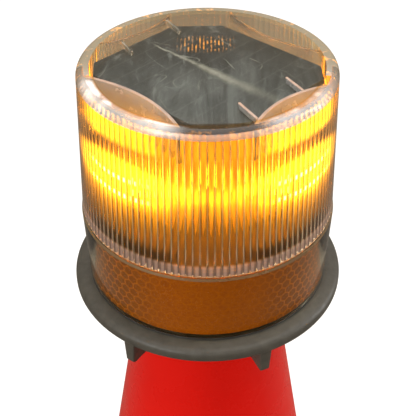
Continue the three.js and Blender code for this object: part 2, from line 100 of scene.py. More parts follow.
# ---- materials ----------------------------------------------------------
class Mat:
    """A node material under construction: a Principled shader and the nodes that feed it."""

    def __init__(self, name, **sockets):
        self.m = bpy.data.materials.new(name)
        self.m.use_nodes = True
        self.t = self.m.node_tree
        self.bsdf = self.t.nodes["Principled BSDF"]
        self.out = self.t.nodes["Material Output"]
        for key, value in sockets.items():
            self.feed(self.bsdf.inputs[key.replace("_", " ")], value)
        self._coord = None

    def node(self, kind, **settings):
        n = self.t.nodes.new(kind)
        for key, value in settings.items():
            setattr(n, key, value)
        return n

    def link(self, a, b):
        self.t.links.new(a, b)

    def feed(self, socket, value):
        """Fills a socket with a constant or with another node's output; colours may come as (r, g, b)."""
        if isinstance(value, bpy.types.NodeSocket):
            self.link(value, socket)
        elif socket.type == "RGBA" and len(value) == 3:
            socket.default_value = (*value, 1)
        else:
            socket.default_value = value

    @property
    def coord(self):
        if self._coord is None:
            self._coord = self.node("ShaderNodeTexCoord").outputs["Object"]
        return self._coord

    def mapped(self, scale, turn=0.0):
        n = self.node("ShaderNodeMapping")
        n.inputs["Scale"].default_value = scale
        n.inputs["Rotation"].default_value = (0, 0, turn)
        self.link(self.coord, n.inputs["Vector"])
        return n.outputs[0]

    def noise(self, scale, detail, rough=0.55, vector=None, distortion=0.0):
        n = self.node("ShaderNodeTexNoise")
        n.inputs["Scale"].default_value = scale
        n.inputs["Detail"].default_value = detail
        n.inputs["Roughness"].default_value = rough
        n.inputs["Distortion"].default_value = distortion
        self.link(vector or self.coord, n.inputs["Vector"])
        return n.outputs["Fac"]

    def ramp(self, fac, *stops):
        """Colour ramp: stops are (position, (r, g, b)) or (position, grey)."""
        n = self.node("ShaderNodeValToRGB")
        el = n.color_ramp.elements
        while len(el) < len(stops):
            el.new(0.5)
        for e, (pos, col) in zip(el, stops):
            e.position = pos
            e.color = (*col, 1) if isinstance(col, tuple) else (col, col, col, 1)
        self.link(fac, n.inputs["Fac"])
        return n.outputs["Color"]

    def mottle(self, low, high, scale, detail=4.0):
        """Soft noise between two colours or two greys."""
        return self.ramp(self.noise(scale, detail), (0.3, low), (0.7, high))

    def math(self, op, a, b=None, c=None):
        n = self.node("ShaderNodeMath", operation=op)
        for socket, v in zip(n.inputs, (a, b, c)):
            if v is not None:
                self.feed(socket, v)
        return n.outputs[0]

    def times(self, first, *others):
        """Product of two or more values."""
        product = first
        for value in others:
            product = self.math("MULTIPLY", product, value)
        return product

    def one_minus(self, value):
        return self.math("SUBTRACT", 1.0, value)

    def mix(self, fac, a, b):
        """Colour a where fac is 0, colour b where it is 1."""
        n = self.node("ShaderNodeMix", data_type="RGBA")
        for socket, v in ((n.inputs[0], fac), (n.inputs[6], a), (n.inputs[7], b)):
            self.feed(socket, v)
        return n.outputs[2]

    def split(self, source=None):
        n = self.node("ShaderNodeSeparateXYZ")
        self.link(source or self.coord, n.inputs[0])
        return n.outputs

    def smooth(self, value, start, end):
        """Smooth step from 0 at start to 1 at end."""
        n = self.node("ShaderNodeMapRange", interpolation_type="SMOOTHSTEP")
        for socket, v in zip(n.inputs, (value, start, end, 0.0, 1.0)):
            self.feed(socket, v)
        return n.outputs[0]

    def height(self):
        """Height above the flange's underside, in mm."""
        return self.times(self.math("SUBTRACT", self.split()[2], LAMP_Z), 1 / MM)

    def radius(self):
        """Distance from the lamp's axis."""
        x, y, _ = self.split()
        return self.math("SQRT", self.math("ADD", self.times(x, x), self.times(y, y)))

    def facing(self):
        """1 straight out from a column face, -1 straight out from a corner of the column."""
        x, y, _ = self.split()
        azimuth = self.math("ARCTAN2", x, self.times(y, -1.0))
        return self.math("COSINE", self.times(self.math("SUBTRACT", azimuth, LIGHT_AZ), 4.0))

    def into(self, socket, value):
        self.link(value, self.bsdf.inputs[socket])

    def bump(self, height, strength, distance):
        """Adds a bump map on top of any that is there."""
        n = self.node("ShaderNodeBump")
        n.inputs["Strength"].default_value = strength
        n.inputs["Distance"].default_value = distance
        self.link(height, n.inputs["Height"])
        if self.bsdf.inputs["Normal"].is_linked:
            self.link(self.bsdf.inputs["Normal"].links[0].from_socket, n.inputs["Normal"])
        self.link(n.outputs[0], self.bsdf.inputs["Normal"])

    def lets_light_in(self, tint):
        """Lets shadow rays through, tinted, so that the lights reach what is behind this clear skin."""
        path = self.node("ShaderNodeLightPath")
        clear = self.node("ShaderNodeBsdfTransparent")
        clear.inputs[0].default_value = (*tint, 1)
        mix = self.node("ShaderNodeMixShader")
        self.link(path.outputs["Is Shadow Ray"], mix.inputs[0])
        self.link(self.bsdf.outputs[0], mix.inputs[1])
        self.link(clear.outputs[0], mix.inputs[2])
        self.link(mix.outputs[0], self.out.inputs[0])


def moulded(name, dark, light, rough, grain, bump, scale):
    """Moulded plastic or rubber: mottled colour, uneven gloss and a fine surface grain."""
    m = Mat(name)
    m.into("Base Color", m.mottle(dark, light, scale, 5))
    m.into("Roughness", m.mottle(*rough, scale * 2.7))
    m.bump(m.noise(grain, 2), bump, 0.1 * MM)
    return m


def red_pvc():
    """Bright red PVC with a moulding seam at both sides, scuffed towards the foot."""
    m = Mat("red_pvc", IOR=1.5, Specular_IOR_Level=0.2)
    _, y, z = m.split()
    base = m.mottle((0.93, 0.004, 0.001), (0.98, 0.007, 0.002), 9)
    streaks = m.noise(26, 6, 0.7, m.mapped((1, 1, 0.12)), 0.6)
    scuff = m.ramp(streaks, (0.62, 0.0), (0.74, 1.0))
    low = m.ramp(m.math("DIVIDE", z, CONE_TIP), (0.02, 1.0), (0.30, 0.12), (0.8, 0.0))
    uneven_patches = m.times(scuff, low)
    m.into("Base Color", m.mix(m.times(uneven_patches, 0.55), base, (0.42, 0.12, 0.09)))
    gloss = m.ramp(m.noise(60, 4), (0.35, 0.24), (0.7, 0.36))
    m.into("Roughness", m.mix(uneven_patches, gloss, (0.62, 0.62, 0.62)))
    m.bump(m.noise(240, 3), 0.12, 0.1 * MM)
    seam_half = 0.5 * MM
    m.bump(m.math("LESS_THAN", m.math("ABSOLUTE", y), seam_half), 0.5, 0.2 * MM)
    return m.m


def base_rubber():
    """Black rubber under a little dust."""
    m = moulded("base_rubber", (0.012, 0.012, 0.012), (0.028, 0.027, 0.026), (0.62, 0.85), 700, 0.5, 90)
    dust = m.ramp(m.noise(40, 6, 0.65), (0.5, 0.0), (0.75, 1.0))
    clean = m.bsdf.inputs["Base Color"].links[0].from_socket
    m.into("Base Color", m.mix(m.times(dust, 0.35), clean, (0.10, 0.09, 0.08)))
    return m.m


def clear_plastic(name, tint, rough, shadow, **sockets):
    """Clear moulding with a faint haze; shadow is the tint of the light that it lets in."""
    m = Mat(name, Base_Color=tint, Transmission_Weight=1.0, IOR=1.5, **sockets)
    haze = m.noise(70, 6, 0.7, m.mapped((1, 1, 0.4)))
    m.into("Roughness", m.ramp(haze, (0.45, rough), (0.75, rough + 0.08)))
    m.bump(m.noise(350, 2), 0.03, 0.1 * MM)
    m.lets_light_in(shadow)
    return m


def edge_with_painted_light(name, clear, back, dull, bright, shadow, painted_glints=0.0):
    """A rounded edge of the lens in painted light: a painted highlight, palest at the front left, a painted
    shadow inside the rim at the middle of the front, and small painted amber glints.
    """
    m = Mat(name, Transmission_Weight=clear, IOR=1.5, Emission_Color=(1.0, 0.36, 0.03))
    uneven_patches = m.noise(60, 5, 0.6, m.mapped((1, 1, 3.0)), 0.3)
    x, y, _ = m.split()
    # painted highlight: paler at the front left, and less so at the front right
    left = m.smooth(x, -4 * MM, -18 * MM)
    right = m.times(m.smooth(x, 8 * MM, 24 * MM), 0.35)
    pale = m.mix(m.math("MAXIMUM", left, right), dull, bright)
    # noise breaks the painted highlight into dimmer patches
    dimmed_highlight = m.mix(0.25, pale, (0.30, 0.25, 0.20))
    pale = m.mix(m.ramp(uneven_patches, (0.35, 0.0), (0.62, 1.0)), dimmed_highlight, pale)
    # painted shadow: the inner part of the rim is dark at the middle of the front
    middle = m.smooth(m.math("ABSOLUTE", m.math("SUBTRACT", x, 6 * MM)), 24 * MM, 12 * MM)
    inner = m.smooth(m.height(), LENS_TALL - 1.25, LENS_TALL - 0.85)
    pale = m.mix(m.times(middle, inner), pale, (0.085, 0.062, 0.045))
    # the back half takes one flat colour, the front half the painted highlight and shadow
    m.into("Base Color", m.mix(m.smooth(y, 5 * MM, -30 * MM), back, pale))
    m.into("Roughness", m.ramp(uneven_patches, (0.3, 0.14), (0.65, 0.30)))
    # painted glints: small amber points of emission
    glints = m.ramp(m.noise(210, 4, 0.65), (0.54, 0.02), (0.66, 1.0))
    m.into("Emission Strength", m.times(glints, painted_glints))
    m.lets_light_in(shadow)
    return m.m


def light_bands(m, h, facing):
    """The light up the ribs: a main band with long teeth downwards, a dim gap, then a second band."""
    def swing(corner, face):
        """A value that goes from corner to face as the wall turns towards a board."""
        return m.math("MULTIPLY_ADD", facing, (face - corner) / 2, (face + corner) / 2)

    def blend(fac, a, b):
        return m.math("ADD", m.times(a, m.one_minus(fac)), m.times(b, fac))

    above = m.math("SUBTRACT", h, swing(78.6, 69.2))
    rise = m.math("DIVIDE", m.math("MAXIMUM", above, 0.0), 5.0)
    fall = m.math("DIVIDE", m.math("MINIMUM", above, 0.0), swing(6.2, 5.5))
    main = m.math("MINIMUM", m.math("EXPONENT", m.math("ADD", rise, fall)), swing(2.3, 3.3))
    gap = m.smooth(h, swing(83.5, 93.0), swing(90.0, 96.5))
    second = m.math("MULTIPLY_ADD", m.smooth(facing, -0.2, 0.6), 2.6, 0.5)
    return blend(m.smooth(h, 99.5, 103.5), blend(gap, main, swing(0.24, 0.16)), second)


def low_behind(m, h, y):
    """Factor that keeps the back half's light below what is seen through the flat top."""
    limit = m.math("MULTIPLY_ADD", m.smooth(y, 0.0, 34 * MM), 26.0, 62.0)
    over = m.smooth(m.math("SUBTRACT", h, limit), -3.0, 1.0)
    return m.math("MULTIPLY_ADD", m.times(m.smooth(y, -21 * MM, -7 * MM), over), -0.985, 1.0)


def rib_bars(m, h, wave):
    """Factor for one bright bar to a rib, which forks in two low down."""
    crest = m.math("MULTIPLY_ADD", m.smooth(wave, -0.3, 0.8), -0.85, 1.15)
    twice = m.math("SUBTRACT", m.times(wave, wave, 2.0), 1.0)
    forked = m.times(m.smooth(twice, 0.0, 0.9), m.smooth(h, 80.0, 70.0))
    return m.times(crest, m.math("MULTIPLY_ADD", forked, -0.55, 1.25))


def hot_spots(m, h, facing, wave, patchy, y):
    """Small hot images of the lamps, in two rows on the front half."""
    rows = 0.0
    for row in HOT_ROWS:
        level = m.math("MULTIPLY_ADD", facing, -1.2, row + 1.2)
        off = m.math("ABSOLUTE", m.math("SUBTRACT", h, level))
        rows = m.math("ADD", m.smooth(off, 1.5, 0.5), rows)
    on_rib = m.times(m.smooth(wave, -0.1, -0.7), m.smooth(patchy, 0.6, 0.95))
    front = m.one_minus(m.smooth(y, -14 * MM, 0.0))
    return m.times(rows, on_rib, m.smooth(facing, 0.1, 0.8), front, 140.0)


def rib_heads(m, h, x, y):
    """Where daylight reaches the ribs' heads under the rim: the front left, and less the front right."""
    left = m.times(m.smooth(x, -4 * MM, -22 * MM), m.smooth(y, -8 * MM, -18 * MM))
    right = m.times(m.smooth(x, 12 * MM, 30 * MM), m.smooth(y, -14 * MM, -26 * MM))
    near_rim = m.smooth(m.radius(), 48.6 * MM, 50.6 * MM)
    return m.times(m.smooth(h, 110.0, 111.2), near_rim, m.math("MULTIPLY_ADD", right, 0.5, left))


def lit_flutes():
    """The ribs inside the lens, with the lamp's amber light painted on them as emission, brightest out from
    the boards.
    """
    m = clear_plastic("lit_flutes", SIDE_TINT, 0.03, (0.40, 0.20, 0.05), Specular_Tint=SIDE_SHEEN,
                      Emission_Color=RIB_AMBER)
    x, y, _ = m.split()
    # painted light: the back half is tinted paler than the front
    m.into("Base Color", m.mix(m.smooth(y, 0.0, 26 * MM), SIDE_TINT, (0.97, 0.86, 0.60)))
    h, facing = m.height(), m.facing()
    wave = m.math("COSINE", m.times(m.math("ARCTAN2", y, x), FLUTES))
    patchy = m.ramp(m.noise(260, 5, 0.7, m.mapped((1, 1, 0.10))), (0.32, 0.35), (0.68, 1.35))
    glow = m.times(light_bands(m, h, facing), low_behind(m, h, y), rib_bars(m, h, wave), patchy)
    # painted light: a pale glow at the ribs' feet
    foot = m.smooth(h, 50.5, 48.5)
    colour = m.mix(foot, RIB_AMBER, (1.0, 0.66, 0.62))
    pale = m.times(foot, m.math("MULTIPLY_ADD", m.smooth(wave, -0.6, 0.4), -0.16, 0.30))
    # painted light: a beige glow high on the back half
    painted_back_glow = m.times(m.smooth(y, 0.0, 20 * MM), m.smooth(h, 86.0, 92.0))
    colour = m.mix(painted_back_glow, colour, (1.0, 0.88, 0.64))
    pale = m.math("ADD", pale, m.times(painted_back_glow, 0.07))
    # painted highlight on the ribs' heads, broken up by noise
    head = rib_heads(m, h, x, y)
    colour = m.mix(m.smooth(head, 0.0, 0.2), colour, (0.92, 0.95, 1.0))
    uneven_patches = m.ramp(m.noise(90, 4, 0.6), (0.40, 0.25), (0.6, 1.0))
    pale = m.math("ADD", pale, m.times(head, uneven_patches, 1.5))
    # the amber fades out at the heads, under the plate and at the feet
    ends = m.times(m.smooth(h, RIB_TOP - 0.1, RIB_TOP - 0.5), m.smooth(h, 50.0, 62.0))
    glow = m.times(glow, m.one_minus(m.smooth(head, 0.0, 0.3)), ends)
    m.into("Emission Color", colour)
    # painted highlights: small hot images of the lamps in two rows
    spots = hot_spots(m, h, facing, wave, patchy, y)
    m.into("Emission Strength", m.math("ADD", m.math("ADD", glow, pale), spots))
    return m.m


def hanging_wall(name, clear, dark, light, rough, edge):
    """Walls under the lens plate in a painted colour, whose top edges carry a painted amber glow for the
    light they pipe.
    """
    m = Mat(name, Transmission_Weight=clear, IOR=1.5, Emission_Color=(1.0, 0.42, 0.17))
    soft = m.noise(45, 3, 0.5, m.mapped((1, 1, 0.4)))
    m.into("Base Color", m.ramp(soft, (0.3, dark), (0.7, light)))
    m.into("Roughness", m.mottle(rough, rough + 0.12, 160, 3))
    upper = m.smooth(m.height(), RIB_TOP - 0.5, RIB_TOP - 0.1)
    # painted glow along the top edge
    m.into("Emission Strength", m.times(upper, m.mottle(0.6, 1.1, 120, 3), edge))
    m.lets_light_in((0.75, 0.66, 0.52))
    return m.m


def lit_ivory():
    """Pale plastic round the lights, glowing where their beam falls on it."""
    m = Mat("lit_ivory", IOR=1.5, Emission_Color=AMBER)
    m.into("Base Color", m.mottle((0.70, 0.44, 0.14), (0.78, 0.52, 0.18), 160))
    m.into("Roughness", m.mottle(0.35, 0.5, 400, 3))
    # brightness of the beam at heights from the drum's deck up to the panel
    levels = ((45, 0.02), (55, 0.03), (61, 0.12), (65, 0.60), (70.5, 0.60), (75, 0.12), (81, 0.06),
              (90.8, 0.06), (91.4, 0.12), (104, 0.20))
    start, span = levels[0][0], 60.0
    beam = m.math("DIVIDE", m.math("SUBTRACT", m.height(), start), span)
    beam = m.ramp(beam, *(((h - start) / span, grey) for h, grey in levels))
    towards_board = m.math("MULTIPLY_ADD", m.facing(), 0.28, 0.72)
    strength = 2.6
    m.into("Emission Strength", m.times(beam, towards_board, strength))
    return m.m


def amber_tape():
    """Retroreflective film: a honeycomb of cells with raised, brighter walls, plainest at the sides, where
    painted shade darkens the field.
    """
    m = Mat("amber_tape", IOR=1.5, Specular_IOR_Level=0.0)
    x, y, z = m.split()
    radius = 56.6 * MM
    count = 78
    pitch = 2 * math.pi * radius / count
    around = m.times(m.math("ARCTAN2", x, y), radius / pitch)
    above = m.math("DIVIDE", z, pitch)
    cell = m.node("ShaderNodeCombineXYZ")
    m.link(around, cell.inputs[0])
    m.link(above, cell.inputs[1])

    def vec(op, a, b=None):
        n = m.node("ShaderNodeVectorMath", operation=op)
        for socket, v in zip(n.inputs, (a, b)):
            if v is not None:
                m.feed(socket, v)
        return n.outputs["Value"] if op in ("DOT_PRODUCT", "LENGTH") else n.outputs[0]

    step = (1.0, math.sqrt(3), 1.0)
    half = (0.5, math.sqrt(3) / 2, 0.5)
    whole = 1000                        # cells added before the remainder, to keep it positive

    def lattice(shift):
        moved = vec("ADD", cell.outputs[0], (whole + shift[0], whole * math.sqrt(3) + shift[1], 0.5))
        wrapped = vec("MODULO", moved, step)
        return vec("MULTIPLY", vec("SUBTRACT", wrapped, half), (1.0, 1.0, 0.0))

    a = lattice((0.0, 0.0))
    b = lattice((0.5, math.sqrt(3) / 2))
    nearer = m.math("LESS_THAN", vec("LENGTH", a), vec("LENGTH", b))
    pick = m.node("ShaderNodeMix", data_type="VECTOR")
    m.link(nearer, pick.inputs[0])
    m.link(b, pick.inputs[4])
    m.link(a, pick.inputs[5])
    folded = vec("ABSOLUTE", pick.outputs[1])
    fx = m.split(folded)[0]
    wall = m.math("MAXIMUM", fx, vec("DOT_PRODUCT", folded, (0.5, math.sqrt(3) / 2, 0.0)))
    line = m.ramp(wall, (0.40, 0.0), (0.46, 1.0))
    field = m.mottle((0.32, 0.086, 0.0), (0.42, 0.122, 0.0), 900, 2)
    # painted shade: the field darkens towards both sides, where the walls show more
    side = m.smooth(m.math("ABSOLUTE", x), 12 * MM, 44 * MM)
    field = m.mix(side, field, (0.20, 0.068, 0.0))
    shown = m.times(line, m.math("MULTIPLY_ADD", side, 0.55, 0.45))
    m.into("Base Color", m.mix(shown, field, (0.47, 0.142, 0.0)))
    m.into("Roughness", m.ramp(wall, (0.2, 0.3), (0.46, 0.5)))
    m.bump(line, 0.4, 0.15 * MM)
    return m.m


def solar_grid(m, head, u, v):
    """Dark cells with gaps between them and fine fingers across them."""
    def stripe(axis, pitch, half):
        middle = 0.5
        phase = m.math("FRACT", m.math("ADD", m.math("DIVIDE", axis, pitch * MM), 100 + middle))
        off = m.math("ABSOLUTE", m.math("SUBTRACT", phase, middle))
        return m.math("GREATER_THAN", off, middle - half)

    gap = m.times(stripe(v, 9.0, 0.03), 0.6)
    finger = m.times(stripe(u, 1.9, 0.05), 0.22)
    dark = m.ramp(m.noise(55, 5, 0.6, head), (0.35, (0.013, 0.0135, 0.012)), (0.7, (0.030, 0.031, 0.027)))
    return m.mix(m.math("MAXIMUM", gap, finger), dark, (0.085, 0.087, 0.075))


def hazed(m, colour):
    """Resin over the cells: haze, wisps and brush marks; the haze pattern and the whole colour get lighter
    towards the front.
    """
    brushed = m.mapped((1.0, 0.22, 1), -PANEL_TURN + 0.35)
    haze = m.ramp(m.noise(46, 8, 0.8, brushed, 1.6), (0.44, 0.0), (0.64, 1.0))
    towards_front = m.smooth(m.split()[1], 20 * MM, -38 * MM)
    veil = m.times(m.math("MULTIPLY_ADD", towards_front, 0.65, 0.08), haze)
    colour = m.mix(veil, colour, (0.155, 0.172, 0.168))
    colour = m.mix(m.times(towards_front, 0.3), colour, (0.095, 0.108, 0.108))
    wisp = m.noise(85, 6, 0.7, m.mapped((1.0, 0.35, 1), -PANEL_TURN + 0.9), 2.2)
    colour = m.mix(m.ramp(wisp, (0.56, 0.0), (0.68, 0.5)), colour, (0.22, 0.235, 0.225))
    hairs = m.noise(170, 3, 0.6, m.mapped((1.0, 0.10, 1), -PANEL_TURN + 1.25))
    brush = m.times(m.ramp(hairs, (0.46, 0.0), (0.66, 0.4)), m.smooth(m.noise(30, 2), 0.40, 0.6))
    return m.mix(brush, colour, (0.16, 0.172, 0.165))


def seam_smear(m, head, u, v):
    """Ragged smear of glue along the seam between the two halves, widest at the front."""
    wander = m.math("MULTIPLY_ADD", m.noise(60, 4, 0.6, head), 5.0 * MM, -2.5 * MM)
    off = m.math("ABSOLUTE", m.math("ADD", m.math("SUBTRACT", u, 0.6 * MM), wander))
    width = m.math("MULTIPLY_ADD", m.smooth(v, 34 * MM, -30 * MM), 4.2 * MM, 0.7 * MM)
    smear = m.one_minus(m.smooth(off, 0.0, width))
    fades = m.one_minus(m.times(m.smooth(v, -4 * MM, -34 * MM), 0.7))
    ragged = m.ramp(m.noise(230, 5, 0.7, head), (0.3, 0.35), (0.65, 1.0))
    return m.times(smear, fades, ragged, m.smooth(v, 36 * MM, 31 * MM))


def painted_amber_reflections(m):
    """Short columns of painted amber reflections of the lamp's glow, near the back of the panel."""
    x, y, _ = m.split()
    middle, pitch = -1 * MM, 1.7 * MM
    across = m.one_minus(m.smooth(m.math("ABSOLUTE", m.math("SUBTRACT", x, middle)), 6 * MM, 15 * MM))
    along = m.times(m.smooth(y, 15 * MM, 20 * MM), m.smooth(y, 33 * MM, 28 * MM))
    column = m.smooth(m.math("COSINE", m.times(x, 2 * math.pi / pitch)), -0.2, 0.8)
    dashes = m.ramp(m.noise(430, 3, 0.7, m.mapped((1.0, 0.6, 1))), (0.45, 0.0), (0.60, 1.0))
    return m.times(across, along, column, dashes, 1.2)


def solar_glass():
    """Dark cells under resin with a haze, with a smeared seam, curved scratches and painted amber
    reflections near the back.
    """
    m = Mat("solar_glass", IOR=1.5, Specular_IOR_Level=0.22, Emission_Color=AMBER)
    head = m.mapped((1, 1, 1), -PANEL_TURN)
    u, v, _ = m.split(head)
    colour = hazed(m, solar_grid(m, head, u, v))
    colour = m.mix(m.times(seam_smear(m, head, u, v), 0.85), colour, (0.33, 0.33, 0.27))
    contour = m.math("ABSOLUTE", m.math("SUBTRACT", m.noise(38, 1, 0.5, head, 0.8), 0.52))
    broken = m.ramp(m.noise(70, 2), (0.52, 0.0), (0.6, 0.55))
    scratch = m.times(m.math("LESS_THAN", contour, 0.006), broken)
    m.into("Base Color", m.mix(scratch, colour, (0.26, 0.26, 0.23)))
    m.into("Roughness", m.mottle(0.3, 0.5, 48, 5))
    m.into("Emission Strength", painted_amber_reflections(m))
    return m.m


def glowing(name, body, tip):
    """Amber epoxy: a gentle glow over the dome and a fierce spot at its tip."""
    m = Mat(name, Base_Color=AMBER, Roughness=0.2, Emission_Color=(1.0, 0.42, 0.03))
    hot = m.smooth(m.radius(), 33.0 * MM, 33.4 * MM)
    m.into("Emission Strength", m.math("MULTIPLY_ADD", hot, tip - body, body))
    m.bump(m.noise(900, 2), 0.1, 0.05 * MM)
    return m.m


def drum_plastic():
    """Brown moulding under the lights; painted shade darkens four places near the deck's edge, out from the
    boards.
    """
    m = Mat("drum_plastic", IOR=1.5, Specular_IOR_Level=0.04)
    base = m.mottle((0.12, 0.086, 0.045), (0.165, 0.118, 0.063), 200)
    # painted shade: darker near the deck's edge, out from each board
    shade = m.times(m.smooth(m.radius(), 42 * MM, 47 * MM), m.smooth(m.facing(), -0.75, 0.2))
    m.into("Base Color", m.mix(m.times(shade, 0.97), base, (0.008, 0.006, 0.005)))
    m.into("Roughness", m.mottle(0.4, 0.6, 600, 3))
    m.bump(m.noise(1400, 2), 0.3, 0.1 * MM)
    return m.m


def steel():
    m = Mat("steel", Metallic=1.0)
    m.into("Base Color", m.mottle((0.42, 0.42, 0.43), (0.62, 0.62, 0.63), 300))
    m.into("Roughness", m.mottle(0.22, 0.4, 700, 3))
    return m.m


RED = red_pvc()
RUBBER = base_rubber()
GREY = moulded("grey_plastic", (0.070, 0.063, 0.050), (0.100, 0.090, 0.071), (0.42, 0.6), 1500, 0.35, 220).m
CLEAR_TOP = clear_plastic("clear_top", (0.96, 0.95, 0.92), 0.02, (0.90, 0.88, 0.84),
                          Specular_Tint=(0.45, 0.45, 0.42, 1)).m
CLEAR_SIDE = clear_plastic("clear_side", (0.92, 0.80, 0.48), 0.02, (0.50, 0.32, 0.12),
                           Specular_Tint=SIDE_SHEEN).m
CLEAR_COLLAR = clear_plastic("clear_collar", (0.97, 0.90, 0.70), 0.02, (0.80, 0.68, 0.42),
                             Specular_Tint=(0.3, 0.14, 0.02, 1)).m
FLUTED = lit_flutes()
# painted light: the rim's back colour, its dull colour and its painted-highlight colour, then the tint of
# the light it lets in. The front and back edges are copies of one clear plastic that differ in painted
# light, the back one nearly opaque.
EDGE_PALE = ((0.37, 0.32, 0.225), (0.62, 0.60, 0.61), (0.72, 0.66, 0.60), (0.7, 0.6, 0.45))
EDGES = edge_with_painted_light("edge_with_painted_light", 0.5, *EDGE_PALE, painted_glints=0.35)
BACK_EDGE = edge_with_painted_light("back_edge_with_painted_light", 0.04, *EDGE_PALE, painted_glints=1.0)
# the step takes the same painted highlight, in its own colours
STEP = edge_with_painted_light("step_with_painted_light", 0.35, (0.40, 0.29, 0.17), (0.30, 0.17, 0.07), (0.36, 0.22, 0.09),
                    (0.85, 0.75, 0.5))
# painted shade and light: the front walls are a darker, cloudier copy of the same clear walls as the paler
# back walls
WALLS = hanging_wall("front_walls", 0.2, (0.255, 0.265, 0.28), (0.355, 0.365, 0.375), 0.18, 0.45)
BACK_WALLS = hanging_wall("back_walls", 0.97, (0.86, 0.82, 0.72), (0.94, 0.90, 0.82), 0.10, 0.0)
LIT = lit_ivory()
DRUM = drum_plastic()
TAPE = amber_tape()
CELLS = solar_glass()
DARK = moulded("dark_plastic", (0.030, 0.022, 0.015), (0.050, 0.036, 0.024), (0.35, 0.5), 1400, 0.3, 200).m
BOARD = moulded("circuit_board", (0.010, 0.065, 0.022), (0.020, 0.10, 0.035), (0.3, 0.45), 1800, 0.3, 500).m
WRAP = moulded("cell_wrap", (0.02, 0.11, 0.30), (0.03, 0.16, 0.42), (0.22, 0.35), 800, 0.1, 120).m
LEAD_RED = moulded("lead_red", (0.42, 0.012, 0.006), (0.52, 0.02, 0.01), (0.35, 0.5), 900, 0.1, 200).m
LEAD_BLACK = moulded("lead_black", (0.012, 0.012, 0.012), (0.02, 0.02, 0.02), (0.35, 0.5), 900, 0.1, 200).m
STEEL = steel()
LED_LIT = glowing("led_lit", 3.0, 130.0)


# ---- mesh helpers -------------------------------------------------------
def finish_mesh(name, bm, material, body, sharp, replaces=()):
    """Turns a bmesh into a placed piece with outward normals, shaded smooth except at sharp edges."""
    bmesh.ops.recalc_face_normals(bm, faces=bm.faces)
    limit = math.radians(sharp)
    for f in bm.faces:
        f.smooth = True
    for e in bm.edges:
        e.smooth = len(e.link_faces) != 2 or e.calc_face_angle(0) < limit
    mesh = bpy.data.meshes.new(name)
    bm.to_mesh(mesh)
    bm.free()
    for one in material if isinstance(material, tuple) else (material,):
        mesh.materials.append(one)
    o = bpy.data.objects.new(name, mesh)
    bpy.context.scene.collection.objects.link(o)
    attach(o, body)
    if replaces:
        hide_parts(*replaces)


def loft(bm, rings, close=True):
    """Skins rings of points with quads. A ring of one point is a pole, and close joins last to first."""
    rows = [[bm.verts.new(p) for p in ring] for ring in rings]
    pairs = list(zip(rows, rows[1:])) + ([(rows[-1], rows[0])] if close else [])
    for a, b in pairs:
        n = max(len(a), len(b))
        for i in range(n):
            j = (i + 1) % n
            quad = [a[i % len(a)], a[j % len(a)], b[j % len(b)], b[i % len(b)]]
            face = list(dict.fromkeys(quad))
            if len(face) >= 3:
                bm.faces.new(face)


def circle(r, z, n):
    if r == 0:
        return [(0, 0, z)]
    return [(r * math.cos(2 * math.pi * i / n), r * math.sin(2 * math.pi * i / n), z) for i in range(n)]


def rounded(profile, reach, steps=4):
    """Rounds the inner corners of an open (r, z) profile with small blends of the given reach."""
    out = [profile[0]]
    for p, q, r in zip(profile, profile[1:], profile[2:]):
        p, q, r = Vector(p), Vector(q), Vector(r)
        a, b = p - q, r - q
        d = min(reach, a.length * 0.45, b.length * 0.45)
        s, e = q + a.normalized() * d, q + b.normalized() * d
        for i in range(steps + 1):
            t = i / steps
            out.append(tuple((1 - t) ** 2 * s + 2 * t * (1 - t) * q + t ** 2 * e))
    return out + [profile[-1]]


def turned(name, profile, material, body, n, reach=0.0, replaces=(), closed=False):
    """A piece turned about Z from an (r, z) profile."""
    pts = rounded(profile, reach) if reach else profile
    bm = bmesh.new()
    loft(bm, [circle(r, z, n) for r, z in pts], close=closed)
    finish_mesh(name, bm, material, body, 32, replaces)


def bevel_all(bm, width, segments, angle=35.0):
    """Turns the normals outwards and bevels every edge that is sharper than angle."""
    bmesh.ops.recalc_face_normals(bm, faces=bm.faces)
    limit = math.radians(angle)
    edges = [e for e in bm.edges if len(e.link_faces) == 2 and e.calc_face_angle(0) > limit]
    bmesh.ops.bevel(bm, geom=edges, offset=width, segments=segments, profile=0.6, affect="EDGES",
                    clamp_overlap=True)


def prism(bm, outline, z0, z1):
    """Closed prism over an outline of (x, y) points."""
    low = [bm.verts.new((x, y, z0)) for x, y in outline]
    high = [bm.verts.new((x, y, z1)) for x, y in outline]
    n = len(outline)
    bm.faces.new(low[::-1])
    bm.faces.new(high)
    for i in range(n):
        j = (i + 1) % n
        bm.faces.new((low[i], low[j], high[j], high[i]))


def spun(bm, angle):
    bmesh.ops.rotate(bm, cent=(0, 0, 0), matrix=Matrix.Rotation(angle, 3, "Z"), verts=bm.verts)


# ---- cone ---------------------------------------------------------------
def cone_r(z):
    return CONE_TIP_R + CONE_SLOPE * (CONE_TIP - z)


def build_cone():
    wall = 3.2 * MM
    lip_r, lip_top = 155 * MM, CONE_FOOT + LIP
    outer = [(lip_r, CONE_FOOT + 1 * MM), (lip_r, lip_top - 0.6 * MM), (lip_r - 0.6 * MM, lip_top),
             (cone_r(lip_top) + 1 * MM, lip_top)]
    start, end = lip_top + 1 * MM, CONE_TIP - 2 * MM
    steps = 40
    for i in range(steps + 1):
        z = start + (end - start) * i / steps
        outer.append((cone_r(z), z))
    outer += [(cone_r(CONE_TIP) - 0.4 * MM, CONE_TIP - 0.7 * MM), (CONE_TIP_R - 1.6 * MM, CONE_TIP),
              (CONE_TIP_R - wall + 0.6 * MM, CONE_TIP), (CONE_TIP_R - wall, CONE_TIP - 0.6 * MM),
              (cone_r(CONE_FOOT) - wall, CONE_FOOT), (lip_r - 1 * MM, CONE_FOOT)]
    turned("cone_shell", outer, RED, CONE, ROUND, closed=True, replaces=("cone_body",))


